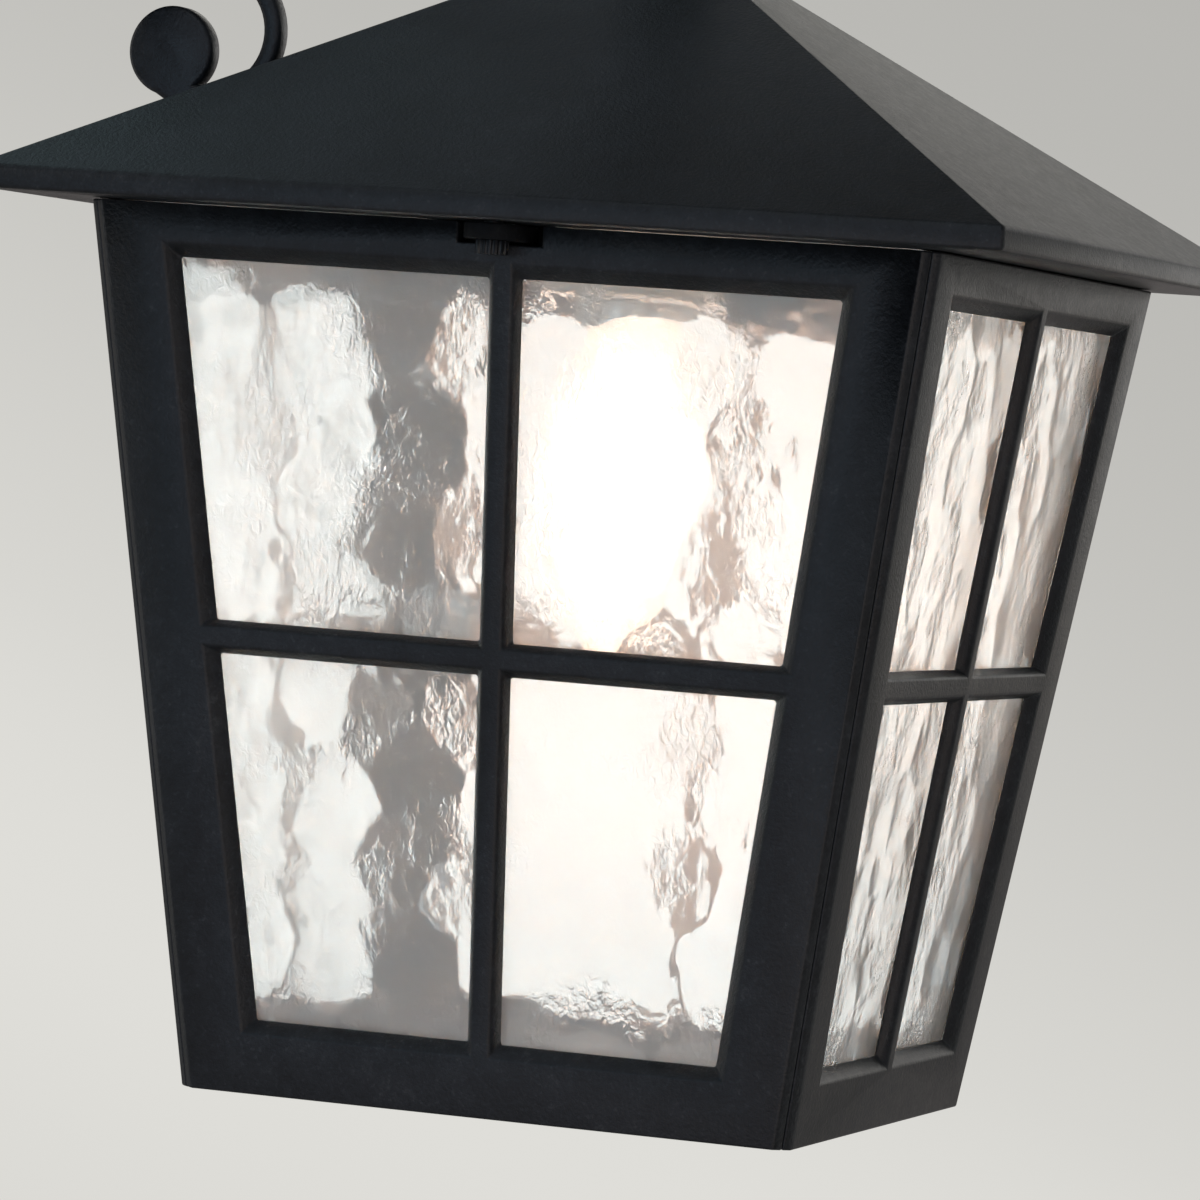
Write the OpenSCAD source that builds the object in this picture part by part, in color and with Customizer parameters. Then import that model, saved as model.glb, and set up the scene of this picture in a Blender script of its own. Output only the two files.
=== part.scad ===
// Wall lantern with a tapered glazed cage under a pyramid roof, hung from a swan neck arm.
// Millimetres, +Z up. The origin is the centre of the back plate on the wall, which is the plane y = 0.
// The lantern stands out from the wall along -Y, and its left side faces -X.

/* [Placing] */
// Wall to the lantern's own axis
projection = 145; // [142:1:170]
// Eave's underside below the centre of the back plate
eave_drop = 100; // [96:1:120]

/* [Roof] */
// Width of the roof across its eaves
eave_w = 230; // [226:1:250]
// Height of the upright edge round the eaves
fascia_h = 5; // [4:0.5:7]
// Height of the four roof slopes, from the fascia to where they would meet
slope_h = 67.8; // [60:1:90]
// Thickness of the cast roof, measured upright
roof_wall = 2.9; // [2.5:0.1:3.5]
// Thickness of the flat ledge under the eaves
soffit_t = 3; // [2.5:0.5:4]
// Width of the flat ledge inside the cage's outline
soffit_lap = 8.5; // [8:0.5:14]
// Width of the flat on the roof's top, on which the collar stands
roof_flat_w = 23; // [22:0.5:26]

/* [Cage] */
// Width of the cage at its top
cage_top_w = 192.4; // [184:0.4:196]
// Width of the cage at its foot
cage_foot_w = 141; // [134:1:150]
// Height of the cage
cage_h = 193.2; // [185:0.2:215]
// Thickness of the side frames, measured level
frame_t = 6.2; // [6:0.1:8]
// Chamfer down each corner of the cage
corner_cut = 3.4; // [2:0.2:5]
// Gap between the cage's top edge and the roof
top_gap = 0.3; // [0.2:0.1:0.6]

/* [Glazing] */
// Width of the upright stiles, to the glass
stile_w = 20.1; // [17:0.1:24]
// Height of the top rail, to the glass
top_rail_h = 12; // [11:0.1:16]
// Height of the bottom rail, to the glass
foot_rail_h = 16.7; // [16.5:0.1:20]
// Width of the glazing bars at the glass
bar_w = 7.8; // [6:0.1:10]
// Width of the flat on the face of the glazing bars
bar_face_w = 4.3; // [3:0.1:5.5]
// Height of the crossing bar's centre below the eave's underside
bar_drop = 93.4; // [80:0.1:110]
// Width of the bevel round each group of panes
bevel_w = 3.2; // [2:0.1:4]
// Depth of the glass's back below the frame's inner face
glass_inset = 0.2; // [0.1:0.05:0.5]
// Thickness of the glass
glass_t = 2.8; // [2:0.1:3]
// Width of glass held behind the frame
glass_lap = 4; // [3:0.5:4]

/* [Base] */
// Metal left between the base screws' holes and the glass's pocket
base_web = 0.65; // [0.5:0.05:1.2]
// Thickness of the base tray
base_t = 2.5; // [2:0.1:2.5]
// Height of the base tray's rim
base_rim_h = 9; // [8:0.5:9.5]
// Diameter of the drain holes
drain_d = 4; // [3:0.5:6]

/* [Catches] */
// Width of the slot in the top rail, left and right
slot_w = 19; // [16:0.5:20]
// Height of the slot
slot_h = 4.4; // [4.2:0.1:4.6]
// Width of the clamp tab
tab_w = 12.5; // [10:0.5:14]
// Thickness of the clamp tab
tab_t = 3.5; // [3:0.1:3.7]
// Distance of the thumb screw outside the cage's top edge
catch_out = 4.2; // [3.8:0.1:5.4]
// Offset of the catches from the middle of their sides, toward the wall
catch_shift = 0.8; // [0:0.1:2]
// Diameter of the thumb screw's head
thumb_head_d = 7.2; // [6:0.1:8]
// Height of the thumb screw's head
thumb_head_h = 3; // [2.5:0.1:5]
// Diameter of the thumb screw's shank
thumb_d = 4; // [3:0.5:5]

/* [Back plate] */
// Width of the back plate
plate_w = 80; // [76:1:100]
// Height of the back plate
plate_h = 96; // [92:1:96]
// Depth of the back plate
plate_depth = 14; // [13:0.5:16]
// Wall thickness of the back plate
plate_wall = 3; // [2.5:0.5:4]
// Thickness of the wall gasket
gasket_t = 2; // [1:0.5:3]
// Distance between the two wall fixing holes
fixing_pitch = 54; // [50:1:56]
// Diameter of the wall fixing holes
fixing_d = 5.5; // [4:0.5:6]

/* [Arm] */
// Outer diameter of the arm's tube
tube_d = 13; // [12:0.5:14]
// Wall thickness of the arm's tube
tube_wall = 1.5; // [1:0.1:1.5]
// Radius of the first bend, where the tube turns up
rise_r = 18; // [14:1:24]
// Angle of the first bend
rise_angle = 70; // [60:1:75]
// Diameter of the ferrule at the plate
ferrule_d = 24; // [20:1:26]
// Thickness of the ferrule
ferrule_t = 7; // [5:0.5:8]

/* [Scroll] */
// Thickness of the scroll's bar in the plane of the scroll
scroll_t = 4.3; // [3.5:0.1:5]
// Width of the scroll's bar across the plane of the scroll
scroll_w = 6; // [5:0.5:8]
// Radius of the curl round the round end, at the bar's centre line
curl_r = 15; // [14:0.5:16]
// Height of the curl's centre above the eave's underside
curl_h = 43; // [41:0.5:45]
// Distance of the curl's centre from the lantern's axis
curl_reach = 107.3; // [106:0.1:108]
// Radius of the round end
penny_r = 10.4; // [9:0.1:11]
// Distance from the curl's centre back to the round end's centre
penny_back = 9.8; // [9:0.1:11]
// Depth of the round end's centre below the curl's centre
penny_down = 5.1; // [4:0.1:6]
// Length of the scroll's straight top end on the back plate
scroll_flat = 12; // [11:0.5:13]
// Gap between the scroll's top end and the arm's ferrule
scroll_gap = 2.45; // [1.5:0.05:4]

/* [Lamp and holder] */
// Diameter of the lamp's screw cap
cap_d = 26; // [25.6:0.1:26.2]
// Length of the lamp's screw cap
cap_l = 24; // [22:0.5:26]
// Largest diameter of the lamp's glass
bulb_d = 36; // [35:0.5:45]
// Length of the lamp's glass
bulb_l = 76; // [70:1:80]
// Height of the lamp cap's top above the eave's underside
lamp_top_h = 7; // [4:0.5:10]
// Outer diameter of the lamp holder
holder_d = 40; // [38:0.5:44]
// Height of the holder's foot below the eave's underside
holder_foot = 11; // [8:0.5:14]
// Height of the holder's shoulder above the eave's underside
holder_top_h = 26; // [24:0.5:30]
// Wall thickness of the hollow threaded tube that ties the roof to the arm
nipple_wall = 1.4; // [1:0.1:1.5]

/* [Clearances] */
// Radial gap of a turning or sliding fit
running_gap = 0.1; // [0.05:0.01:0.1]
// Gap between pieces that sit beside each other
seat_gap = 0.3; // [0.2:0.1:0.5]
// Gap round the edge of each sheet of glass
glass_gap = 0.5; // [0.3:0.1:1]

/* [Hidden] */
$fn = 64;
over = 1;

// The sides by name, as the turn about Z that brings the front side to each
TURN = [["left", -90], ["front", 0], ["right", 90], ["back", 180]];
function turn_of(side) = TURN[search([side], TURN)[0]][1];

// Cage outline: half width at a height z, where z = 0 is the eave's underside
top_half = cage_top_w / 2;
foot_half = cage_foot_w / 2;
cage_foot = -top_gap - cage_h;
side_run = (top_half - foot_half) / cage_h;
catch_reach = top_half + catch_out;
side_tilt = atan(side_run);
function half_at(z) = top_half + (z + top_gap) * side_run;

// Points of the side that faces -Y, from its width, its height and the depth behind its face
function face_point(s, z, depth) = [s, -half_at(z) + depth, z];

// Heights of the glass edges in a side frame
glass_top_z = -top_rail_h;
glass_foot_z = cage_foot + foot_rail_h;
bar_z = -bar_drop;
bar_half = bar_w / 2;
bar_face_half = bar_face_w / 2;
glass_depth = frame_t - glass_t - glass_inset;

// Back plate
plate_front = gasket_t + plate_depth;
plate_r = 12;
plate_step = 6;
plate_step_w = 5;
cavity_half_w = plate_w / 2 - plate_step_w - plate_wall;
cavity_half_h = plate_h / 2 - plate_step_w - plate_wall;
post_d = fixing_d + 6;
window_lap = 13;
window_r = 5;

// Scroll bar
scroll_half = scroll_t / 2;
sweep_back_r = projection - plate_front - scroll_half - curl_reach;
scroll_turn_h = curl_h + curl_r + sweep_back_r;
scroll_top_h = scroll_turn_h + scroll_flat;
penny_reach = curl_reach + penny_back;
penny_h = curl_h - penny_down;

// Arm tube: it leaves the plate above the scroll, bends up, then sweeps over to hang down on the lantern's axis
root_h = scroll_top_h + scroll_gap + ferrule_d / 2;
tube_bore = tube_d - 2 * tube_wall;
bend_start = -projection + plate_front + ferrule_t;
rise_end_u = bend_start + rise_r * sin(rise_angle);
rise_end_h = root_h + rise_r * (1 - cos(rise_angle));
sweep_r = -rise_end_u / (1 + sin(rise_angle));
sweep_centre_u = -sweep_r;
sweep_centre_h = rise_end_h - sweep_r * cos(rise_angle);
tube_tail = gasket_t + 3;
eave_half = eave_w / 2;
slope = slope_h / eave_half;
roof_flat_half = roof_flat_w / 2;
roof_top_h = fascia_h + slope_h - roof_flat_half * slope;
hub_h = 12;
seal_t = 1.5;
collar_r = roof_flat_half - 0.5;
collar_seat = roof_top_h + seal_t;
collar_h = 15;
tube_foot = collar_seat + 5;
wire_d = 5;

// Lock nut of the arm, inside the back plate
lock_nut_t = 4;
lock_nut_af = 19;

// Screws by thread: clearance and head sizes
m3 = 3;
m3_shank = 2.9;
m3_hole = 3.3;
m3_head = 5.5;
m3_head_h = 2;
screw_grip = 4;
hair = 0.02;

// Lamp holder, and the threaded tube that screws into the arm's foot
nipple_d = tube_bore - 2 * running_gap;
nipple_bore = nipple_d - 2 * nipple_wall;
sleeve_t = 0.8;
sleeve_bore = cap_d / 2 + seat_gap;
holder_wall = 3.5;
holder_floor_h = lamp_top_h + 3;
cone_h = 14;
cone_top_d = 22;
neck_d = 16;
neck_h = 8;
nipple_foot = holder_top_h + cone_h + 2;
nipple_top = collar_seat + collar_h + 4;
nut_af = 16;
nut_t = 4;

// Clamp tab
tab_top = -top_gap - 0.2;
tab_bar_l = 36;
tab_bar_t = 4;
tab_bar_h = 6.4;
tab_screw_s = 14;
tab_screw_z = tab_top - tab_bar_h / 2;
boss_d = 10;
boss_h = 8;

module ring(outer_r, inner_r, t) {
    difference() {
        cylinder(r = outer_r, h = t);
        translate([0, 0, -over]) cylinder(r = inner_r, h = t + 2 * over);
    }
}

module rounded_plate(w, h, r, t) {
    linear_extrude(t) {
        square([w - 2 * r, h], center = true);
        square([w, h - 2 * r], center = true);
        for (x = [-1, 1], y = [-1, 1])
            translate([x * (w / 2 - r), y * (h / 2 - r)]) circle(r = r);
    }
}

// A nut or plate with a bore, standing along +Z
module hex_nut(across, bore, t) {
    difference() {
        cylinder(d = across / cos(30), h = t, $fn = 6);
        translate([0, 0, -over]) cylinder(d = bore, h = t + 2 * over);
    }
}

// A pan head screw: its head stands on z = 0 and its shank runs down
module pan_screw(thread, head, head_h, length) {
    difference() {
        cylinder(d = head, h = head_h);
        translate([-head / 2 - over, -0.4, head_h - 0.8]) cube([head + 2 * over, 0.8, over + 0.8]);
    }
    translate([0, 0, -length]) cylinder(d = thread, h = length + 0.01);
}

// Stands its children off the wall: their +Z becomes -Y, and their Y stays up
module off_wall(y) {
    translate([0, -y, 0]) rotate([90, 0, 0]) children();
}

// Moves its children to the lantern's axis, at the eave's underside
module lantern() {
    translate([0, -projection, -eave_drop]) children();
}

// Lays a drawing of the arm's plane, with u out from the lantern's axis and h up, in the real plane
module arm_plane(t) {
    lantern() rotate([90, 0, -90]) translate([0, 0, -t / 2]) linear_extrude(t) children();
}

// Stands its children on the lantern's axis in the arm's plane, with X along u, Y up and Z across
module arm_frame(u, h) {
    lantern() rotate([90, 0, -90]) translate([u, h, 0]) children();
}

// A solid with six flat sides from two outlines of four points
module block_between(near, far) {
    polyhedron(points = concat(near, far), faces = [[0, 1, 2, 3], [7, 6, 5, 4],
        [0, 4, 5, 1], [1, 5, 6, 2], [2, 6, 7, 3], [3, 7, 4, 0]]);
}

// A straight bar along X with the profile [y, z]
module bar_along_x(profile, l) {
    rotate([90, 0, 90]) translate([0, 0, -l / 2]) linear_extrude(l) polygon(profile);
}

// A four-sided solid about the axis: the profile is its outline from the side
module four_sided(profile, l) {
    intersection() {
        bar_along_x(profile, l);
        rotate([0, 0, 90]) bar_along_x(profile, l);
    }
}

// A four-sided solid that follows the cage, set in from its face
module cage_block(low, high, inset) {
    four_sided([[-half_at(low) + inset, low], [half_at(low) - inset, low],
        [half_at(high) - inset, high], [-half_at(high) + inset, high]], 3 * top_half);
}

// Brings a piece of the front side to another side
module on_side(side) {
    lantern() rotate([0, 0, turn_of(side)]) children();
}

// Stands a piece on the inner face of the front side: out is -Y and up is along the slope
module on_inner_face(s, z) {
    translate(face_point(s, z, frame_t)) rotate([side_tilt, 0, 0]) children();
}

// Level thickness of something that lies t thick on a sloping side
function level(t) = t / cos(side_tilt);

// A hole square to the sloping inner face, from a depth in the frame to a height above the face
module inner_hole(s, z, d, depth, height) {
    on_inner_face(s, z) translate([0, -depth, 0]) rotate([-90, 0, 0]) cylinder(d = d, h = depth + height);
}

// A screw driven from inside, whose head sits at a height above the frame's inner face
module inner_screw(s, z, seat, head, head_h) {
    on_inner_face(s, z) translate([0, seat, 0]) rotate([-90, 0, 0])
        pan_screw(m3_shank, head, head_h, seat + screw_grip - 0.5);
}

// Back plate and what it holds

module wall_gasket() {
    window_w = fixing_pitch - post_d - 4;
    color("dimgray") difference() {
        off_wall(0) rounded_plate(plate_w, plate_h, plate_r, gasket_t);
        off_wall(-over) rounded_plate(window_w, plate_h - 2 * window_lap, window_r, gasket_t + 2 * over);
        fixing_holes();
    }
}

module fixing_holes() {
    for (x = [-1, 1])
        translate([x * fixing_pitch / 2, 0, 0]) off_wall(-over) cylinder(d = fixing_d, h = plate_front + 2 * over);
}

module plate_shell() {
    off_wall(gasket_t) rounded_plate(plate_w, plate_h, plate_r, plate_depth - plate_step);
    off_wall(gasket_t) rounded_plate(plate_w - 2 * plate_step_w, plate_h - 2 * plate_step_w,
        plate_r - 4, plate_depth);
}

module plate_cavity() {
    off_wall(gasket_t - over)
        rounded_plate(2 * cavity_half_w, 2 * cavity_half_h, plate_r - 6, plate_depth - plate_wall + over);
}

earth_x = 8 - cavity_half_w;
earth_z = 12 - cavity_half_h;
earth_sunk = 4;

module back_plate() {
    color("#1b1f24") difference() {
        union() {
            difference() {
                plate_shell();
                plate_cavity();
            }
            for (x = [-1, 1])
                translate([x * fixing_pitch / 2, 0, 0]) off_wall(gasket_t) cylinder(d = post_d, h = plate_depth);
            translate([earth_x, 0, earth_z]) off_wall(gasket_t + earth_sunk)
                cylinder(d = 8, h = plate_depth - earth_sunk);
        }
        fixing_holes();
        translate([0, 0, root_h - eave_drop]) off_wall(gasket_t) cylinder(d = tube_d + 2 * running_gap, h = plate_front);
        for (h = scroll_screw_heights()) translate([0, 0, h - eave_drop])
            off_wall(gasket_t) cylinder(d = m3_hole, h = plate_front);
        translate([earth_x, 0, earth_z]) off_wall(gasket_t) cylinder(d = m3, h = plate_depth - 3);
    }
}

terminal_w = 24;
terminal_h = 12;
terminal_t = 9;
terminal_x = cavity_half_w - 1.5 - terminal_w / 2;
terminal_z = 2 - cavity_half_h;
terminal_pitch = 7.5;

module terminal_block() {
    color("ivory") difference() {
        translate([terminal_x, 0, terminal_z]) off_wall(plate_front - plate_wall - terminal_t)
            translate([-terminal_w / 2, 0, 0]) cube([terminal_w, terminal_h, terminal_t]);
        for (i = [-1 : 1]) translate([terminal_x + i * terminal_pitch, 0, terminal_z + terminal_h / 2])
            off_wall(gasket_t) cylinder(d = m3, h = plate_depth - plate_wall - 3);
    }
}

module terminal_screws() {
    color("silver") for (i = [-1 : 1])
        translate([terminal_x + i * terminal_pitch, 0, terminal_z + terminal_h / 2])
            translate([0, terminal_t + plate_wall - plate_front, 0]) rotate([-90, 0, 0])
                pan_screw(m3_shank, m3_head, 1.4, 4);
}

module earth_screw() {
    color("goldenrod") translate([earth_x, -(gasket_t + earth_sunk), earth_z]) rotate([-90, 0, 0])
        pan_screw(m3_shank, 6.5, 2, 5);
}

// Arm

// Points along an arc, each with its angle
function turn(centre, r, from, to, steps) =
    [for (i = [0 : steps]) let(a = from + (to - from) * i / steps) [centre + r * [cos(a), sin(a)], a]];

// The arm's centre line from the back plate to a foot over the lantern, as points with a heading
first_bend = turn([bend_start, root_h + rise_r], rise_r, -90, rise_angle - 90, 8);
second_bend = turn([sweep_centre_u, sweep_centre_h], sweep_r, 90 + rise_angle, 0, 26);
function arm_line(foot) = concat([[[-projection + tube_tail, root_h], 0]],
    [for (q = first_bend) [q[0], q[1] + 90]],
    [for (i = [1 : len(second_bend) - 1]) [second_bend[i][0], second_bend[i][1] - 90]],
    [[[0, foot], -90]]);

// A round drawn square to the line at one of its points
function round_at(q, r, sides) = [for (i = [0 : sides - 1]) let(a = 360 * i / sides)
    [q[0][0] - r * cos(a) * sin(q[1]), q[0][1] + r * cos(a) * cos(q[1]), r * sin(a)]];

// The wall between the rounds along a line
function swept_wall(line, sides) = [for (k = [0 : len(line) - 2], i = [0 : sides - 1])
    let(j = (i + 1) % sides) [k * sides + i, (k + 1) * sides + i, (k + 1) * sides + j, k * sides + j]];

module swept_rod(line, d, sides) {
    last = (len(line) - 1) * sides;
    polyhedron([for (q = line) each round_at(q, d / 2, sides)], concat(swept_wall(line, sides),
        [[for (i = [0 : sides - 1]) i], [for (i = [sides - 1 : -1 : 0]) last + i]]));
}

module swept_tube(line, d, bore, sides) {
    last = (len(line) - 1) * sides;
    inner = len(line) * sides;
    points = [for (r = [d / 2, bore / 2], q = line) each round_at(q, r, sides)];
    wall = swept_wall(line, sides);
    bore_wall = [for (f = wall) [for (i = [3 : -1 : 0]) f[i] + inner]];
    ends = [for (i = [0 : sides - 1]) let(j = (i + 1) % sides) each [[i, j, inner + j, inner + i],
        [last + j, last + i, inner + last + i, inner + last + j]]];
    polyhedron(points, concat(wall, bore_wall, ends));
}

module arm_tube() {
    color("#1b1f24") arm_frame(0, 0) swept_tube(arm_line(tube_foot), tube_d, tube_bore, 24);
}

module arm_ferrule() {
    color("#1b1f24") arm_frame(-projection + plate_front, root_h) rotate([0, 90, 0]) difference() {
        union() {
            cylinder(d = ferrule_d, h = ferrule_t - 3);
            cylinder(d = ferrule_d - 6, h = ferrule_t);
        }
        translate([0, 0, -over]) cylinder(d = tube_d + 2 * running_gap, h = ferrule_t + 2 * over);
    }
}

module arm_lock_nut() {
    color("silver") translate([0, 0, root_h - eave_drop]) off_wall(plate_front - plate_wall - lock_nut_t)
        hex_nut(lock_nut_af, tube_d + 2 * running_gap, lock_nut_t);
}

module arm_wiring() {
    color("dimgray") arm_frame(0, 0)
        swept_rod(arm_line(holder_top_h - holder_wall), wire_d, 10);
}

// Scroll: flat bar in the arm's plane. Its centre line runs from the round end, under and up round the
// curl, back toward the wall and up the back plate

curl = [-curl_reach, curl_h];
penny = [-penny_reach, penny_h];
tail_angle = -118;
curl_line = turn(curl, curl_r, tail_angle, 90, 30);
rise_line = turn([-curl_reach, scroll_turn_h], sweep_back_r, 270, 180, 14);

// The bar is thicker where it runs into the round end
function tail_extra(a) = 2.4 * pow(max(0, (-40 - a) / (-40 - tail_angle)), 2);

module scroll_outline() {
    outer = concat([for (q = curl_line) q[0] + (scroll_half + tail_extra(q[1])) * [cos(q[1]), sin(q[1])]],
        [for (q = rise_line) q[0] - scroll_half * [cos(q[1]), sin(q[1])]],
        [[-curl_reach - sweep_back_r + scroll_half, scroll_top_h]]);
    inner = concat([for (q = curl_line) q[0] - scroll_half * [cos(q[1]), sin(q[1])]],
        [for (q = rise_line) q[0] + scroll_half * [cos(q[1]), sin(q[1])]],
        [[-curl_reach - sweep_back_r - scroll_half, scroll_top_h]]);
    polygon(concat(outer, [for (i = [len(inner) - 1 : -1 : 0]) inner[i]]));
    translate(penny) circle(r = penny_r);
    // The web between the round end and the bar's tail
    polygon([penny + penny_r * [cos(226), sin(226)], outer[0], outer[1], inner[1], inner[0], penny]);
}

function scroll_screw_heights() = [scroll_turn_h + 1.5, scroll_top_h - 2.5];

module scroll_bar() {
    color("#1b1f24") difference() {
        arm_plane(scroll_w) scroll_outline();
        for (h = scroll_screw_heights()) translate([0, 0, h - eave_drop])
            off_wall(plate_front - over) cylinder(d = m3, h = 3 + over);
    }
}

module scroll_screws() {
    color("silver") for (h = scroll_screw_heights())
        translate([0, -(plate_front - plate_wall), h - eave_drop]) rotate([-90, 0, 0])
            pan_screw(m3_shank, m3_head, m3_head_h, plate_wall + 2.8);
}

// Roof
soffit_half = top_half - soffit_lap;

module roof_outer() {
    four_sided([[-eave_half, 0], [eave_half, 0], [eave_half, fascia_h], [roof_flat_half, roof_top_h],
        [-roof_flat_half, roof_top_h], [-eave_half, fascia_h]], 2 * eave_w);
}

module roof_hollow() {
    inner_half = eave_half - 4;
    rim_h = fascia_h - roof_wall + (eave_half - inner_half) * slope;
    four_sided([[-inner_half, soffit_t], [inner_half, soffit_t], [inner_half, max(rim_h, soffit_t + 0.1)],
        [0, fascia_h - roof_wall + slope_h], [-inner_half, max(rim_h, soffit_t + 0.1)]], 2 * eave_w);
}

module roof() {
    color("#20262a") lantern() difference() {
        union() {
            difference() {
                roof_outer();
                roof_hollow();
                translate([-soffit_half, -soffit_half, -over])
                    cube([2 * soffit_half, 2 * soffit_half, soffit_t + 2 * over]);
            }
            translate([0, 0, roof_top_h - hub_h]) cylinder(r = collar_r, h = hub_h);
            intersection() {
                roof_outer();
                for (x = [-1, 1]) translate([x * catch_reach, catch_shift, 0]) cylinder(d = boss_d, h = roof_top_h);
            }
        }
        translate([0, 0, roof_top_h - hub_h - over])
            cylinder(d = nipple_d + 2 * running_gap, h = hub_h + 2 * over);
        for (x = [-1, 1]) translate([x * catch_reach, catch_shift, -over])
            cylinder(d = thumb_d + 2 * running_gap, h = boss_h - 1 + over);
    }
}

module roof_collar() {
    color("#1b1f24") lantern() translate([0, 0, collar_seat]) difference() {
        union() {
            cylinder(r = collar_r, h = 3);
            cylinder(r = collar_r - 1.5, h = collar_h);
            rotate_extrude() translate([collar_r - 2, collar_h / 2 + 0.5]) circle(r = 2);
        }
        translate([0, 0, tube_foot - collar_seat]) cylinder(d = tube_d + 2 * running_gap, h = collar_h);
        translate([0, 0, -over]) cylinder(d = nipple_d + 2 * running_gap, h = collar_h);
    }
}

module roof_seal() {
    color("black") lantern() translate([0, 0, roof_top_h])
        ring(collar_r - 0.5, nipple_d / 2 + running_gap, seal_t);
}

module hanger_tube() {
    color("goldenrod") lantern() translate([0, 0, nipple_foot]) difference() {
        cylinder(d = nipple_d, h = nipple_top - nipple_foot);
        translate([0, 0, -over]) cylinder(d = nipple_bore, h = nipple_top - nipple_foot + 2 * over);
    }
}

module roof_lock_nut() {
    color("silver") lantern() translate([0, 0, roof_top_h - hub_h - nut_t])
        hex_nut(nut_af, nipple_d + 2 * running_gap, nut_t);
}

// Lamp holder

module holder_cap() {
    color("whitesmoke") lantern() difference() {
        union() {
            translate([0, 0, holder_top_h]) cylinder(d1 = holder_d, d2 = cone_top_d, h = cone_h);
            translate([0, 0, holder_top_h + cone_h]) cylinder(d = neck_d, h = neck_h);
        }
        translate([0, 0, holder_top_h - over]) cylinder(d = holder_d / 2, h = cone_h / 2 + over);
        translate([0, 0, holder_top_h]) cylinder(d = wire_d + 1, h = cone_h + neck_h);
        translate([0, 0, nipple_foot]) cylinder(d = nipple_d + 2 * running_gap, h = cone_h + neck_h);
    }
}

module holder_body() {
    color("whitesmoke") lantern() difference() {
        union() {
            translate([0, 0, -holder_foot]) cylinder(d = holder_d, h = holder_top_h + holder_foot);
            translate([0, 0, -holder_foot]) cylinder(d = holder_d + 5, h = 5);
        }
        translate([0, 0, -holder_foot - over])
            cylinder(r = sleeve_bore + sleeve_t + 0.1, h = holder_floor_h + holder_foot + over);
        translate([0, 0, holder_floor_h + 4]) cylinder(d = holder_d - 2 * holder_wall, h = holder_top_h);
    }
}

module holder_sleeve() {
    color("goldenrod") lantern() translate([0, 0, -holder_foot + 4])
        ring(sleeve_bore + sleeve_t, sleeve_bore, holder_floor_h + holder_foot - 4);
}

module holder_contact() {
    color("goldenrod") lantern() translate([0, 0, holder_floor_h - 1.2]) cylinder(d = 10, h = 1.2);
}

// Cage

// The four panes of a side: each has its glass outline and its wider outline on the face
function pane_corners(col, row, grow_out, grow_bar) = let(
    high = row > 0 ? glass_top_z + grow_out : bar_z - bar_half + grow_bar,
    low = row > 0 ? bar_z + bar_half - grow_bar : glass_foot_z - grow_out,
    inner = bar_half - grow_bar)
    [[col * inner, high], [col * (half_at(high) - stile_w + grow_out), high],
     [col * (half_at(low) - stile_w + grow_out), low], [col * inner, low]];

function pane_ring(col, row, t, depth) = let(
    bar_bevel = (bar_w - bar_face_w) / 2,
    ring = pane_corners(col, row, bevel_w * t, bar_bevel * t))
    [for (p = ring) face_point(p[0], p[1], depth)];

module pane_hole(col, row) {
    front = (glass_depth + over) / glass_depth;
    near = pane_ring(col, row, front, -over);
    far = pane_ring(col, row, -0.05, glass_depth * 1.05);
    if (col > 0)
        block_between(near, far);
    else
        block_between(far, near);
}

// The sheet of glass and its pocket: one outline grown or shrunk, between two depths
module glass_sheet(gap, from_depth, to_depth) {
    high = glass_top_z + glass_lap - gap;
    low = glass_foot_z - glass_lap + gap;
    outline = [[-1, high], [1, high], [1, low], [-1, low]];
    near = [for (p = outline) face_point(p[0] * (half_at(p[1]) - stile_w + glass_lap - gap), p[1], from_depth)];
    far = [for (p = outline) face_point(p[0] * (half_at(p[1]) - stile_w + glass_lap - gap), p[1], to_depth)];
    block_between(near, far);
}

module frame_blank() {
    diagonal_cut = corner_cut / sqrt(2);
    top_reach = sqrt(2) * top_half - diagonal_cut;
    foot_reach = sqrt(2) * foot_half - diagonal_cut;
    intersection() {
        bar_along_x([[-top_half, -top_gap], [-foot_half, cage_foot], [-foot_half + frame_t, cage_foot],
            [-top_half + frame_t, -top_gap]], 3 * top_half);
        translate([0, 0, cage_foot - over]) linear_extrude(cage_h + 2 * over)
            polygon([[0, 0], [-2 * top_half, -2 * top_half], [2 * top_half, -2 * top_half]]);
        rotate([0, 0, 45]) four_sided([[-foot_reach, cage_foot], [foot_reach, cage_foot],
            [top_reach, -top_gap], [-top_reach, -top_gap]], 4 * top_half);
    }
}

module side_frame(side) {
    sideways = side == "left" || side == "right";
    shift = side == "left" ? -catch_shift : catch_shift;
    color("#1d2329") on_side(side) difference() {
        frame_blank();
        for (col = [-1, 1], row = [-1, 1]) pane_hole(col, row);
        glass_sheet(0, glass_depth, frame_t + over);
        if (sideways) {
            translate([shift - slot_w / 2, -top_half - over, -top_gap - slot_h])
                cube([slot_w, frame_t + 3, slot_h + over]);
            for (s = [-1, 1]) translate([shift + s * tab_screw_s, -half_at(tab_screw_z) + frame_t - screw_grip, tab_screw_z])
                rotate([-90, 0, 0]) cylinder(d = m3, h = screw_grip + over);
        }
        for (s = [-1, 1], z = clip_heights()) inner_hole(s * clip_place(z), z, m3, screw_grip, over);
        corner_holes(m3, screw_grip, over);
        base_holes(m3, screw_grip, over);
    }
}

module glass(side) {
    color("aliceblue", 0.5) on_side(side) glass_sheet(glass_gap, glass_depth + 0.1, glass_depth + 0.1 + glass_t);
}

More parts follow.
